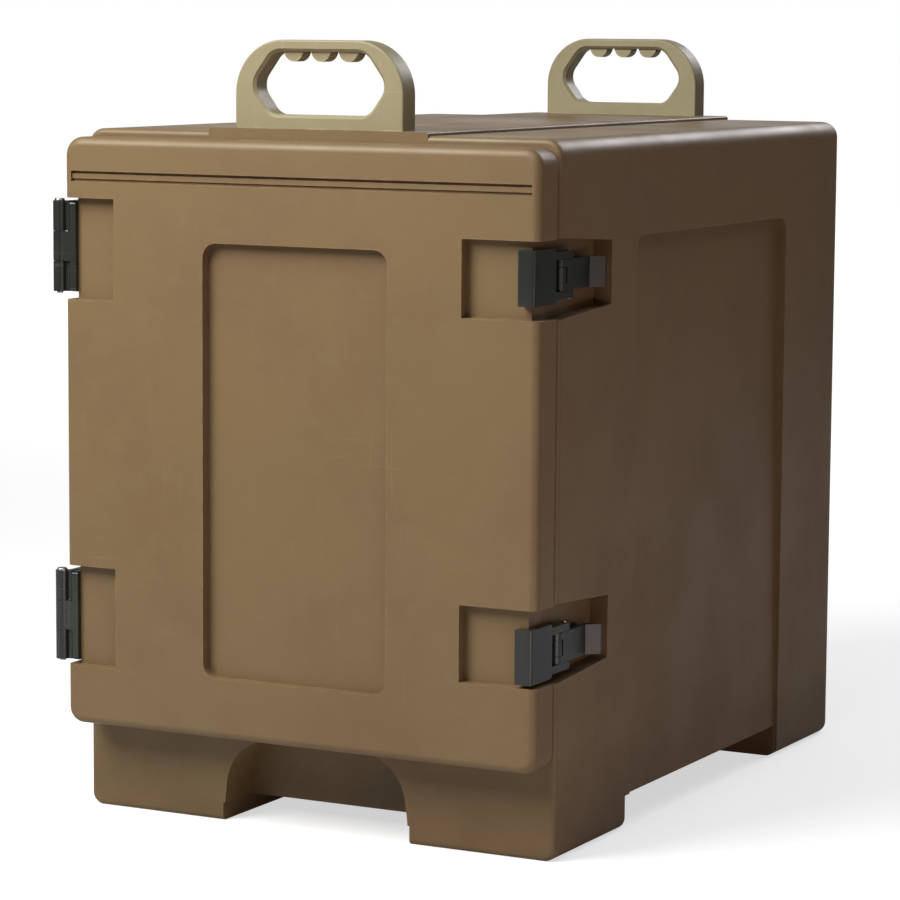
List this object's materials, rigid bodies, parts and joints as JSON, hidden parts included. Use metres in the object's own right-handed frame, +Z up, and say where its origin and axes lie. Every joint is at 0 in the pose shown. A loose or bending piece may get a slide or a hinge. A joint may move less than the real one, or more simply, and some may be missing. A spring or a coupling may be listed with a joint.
{
  "type": "insulated food carrier",
  "caption": "Tall brown foam-filled box that keeps pans of food hot, with a side-hung front door, side latches, upright grip handles on top and moulded feet.",
  "frame": {"origin": "on the floor under the carrier, on the body's centre plane, midway between the door's front and the body's back", "axes": "+X to the latch side, so the door hangs on the -X side; +Y to the back, so the door faces -Y; +Z up"},
  "size_m": [0.4525, 0.633, 0.6395],
  "materials": {
    "shell_brown": "rotationally moulded polyethylene, fine grain, satin",
    "liner_brown": "moulded polyethylene, satin",
    "handle_tan": "moulded plastic, satin",
    "foam": "polyurethane foam, matte",
    "gasket_rubber": "soft rubber, matte",
    "nylon_black": "moulded nylon, semi-gloss",
    "pin_steel": "stainless steel, satin",
    "insert_brass": "brass, satin"
  },
  "bodies": {
    "body": {"body_foam": "foam", "body_threaded_inserts": "insert_brass", "cavity_liner": "liner_brown", "front_handle": "handle_tan", "front_handle_screws": "pin_steel", "lower_hinge_body_leaf": "nylon_black", "lower_hinge_body_screws": "pin_steel", "lower_hinge_pin": "pin_steel", "lower_latch_base": "nylon_black", "lower_latch_lever_pin": "pin_steel", "lower_latch_screws": "pin_steel", "outer_shell": "shell_brown", "rear_handle": "handle_tan", "rear_handle_screws": "pin_steel", "upper_hinge_body_leaf": "nylon_black", "upper_hinge_body_screws": "pin_steel", "upper_hinge_pin": "pin_steel", "upper_latch_base": "nylon_black", "upper_latch_lever_pin": "pin_steel", "upper_latch_screws": "pin_steel"},
    "door": {"door_foam": "foam", "door_gasket": "gasket_rubber", "door_inner_lid": "liner_brown", "door_shell": "shell_brown", "door_threaded_inserts": "insert_brass", "lower_hinge_door_leaf": "nylon_black", "lower_hinge_door_screws": "pin_steel", "upper_hinge_door_leaf": "nylon_black", "upper_hinge_door_screws": "pin_steel"},
    "upper_lever": {"upper_latch_hook_pin": "pin_steel", "upper_latch_lever": "nylon_black"},
    "upper_hook": {"upper_latch_hook": "nylon_black"},
    "lower_lever": {"lower_latch_hook_pin": "pin_steel", "lower_latch_lever": "nylon_black"},
    "lower_hook": {"lower_latch_hook": "nylon_black"}
  },
  "joints": [
    {"name": "door_hinge", "type": "hinge", "parent": "body", "child": "door", "pos_m": [-0.225, -0.3085, 0.318], "axis": [0, 0, -1], "range_deg": [0, 270]},
    {"name": "upper_lever_pivot", "type": "hinge", "parent": "body", "child": "upper_lever", "pos_m": [0.2085, -0.266, 0.461], "axis": [0, 0, -1], "range_deg": [0, 100]},
    {"name": "upper_hook_pivot", "type": "hinge", "parent": "upper_lever", "child": "upper_hook", "pos_m": [0.208, -0.25, 0.461], "axis": [0, 0, 1], "range_deg": [0, 116]},
    {"name": "lower_lever_pivot", "type": "hinge", "parent": "body", "child": "lower_lever", "pos_m": [0.2085, -0.266, 0.1685], "axis": [0, 0, -1], "range_deg": [0, 100]},
    {"name": "lower_hook_pivot", "type": "hinge", "parent": "lower_lever", "child": "lower_hook", "pos_m": [0.208, -0.25, 0.1685], "axis": [0, 0, 1], "range_deg": [0, 116]}
  ],
  "couplings": [
    {"joint": "upper_hook_pivot", "follows": "upper_lever_pivot", "ratio": 1.15},
    {"joint": "lower_hook_pivot", "follows": "lower_lever_pivot", "ratio": 1.15}
  ]
}
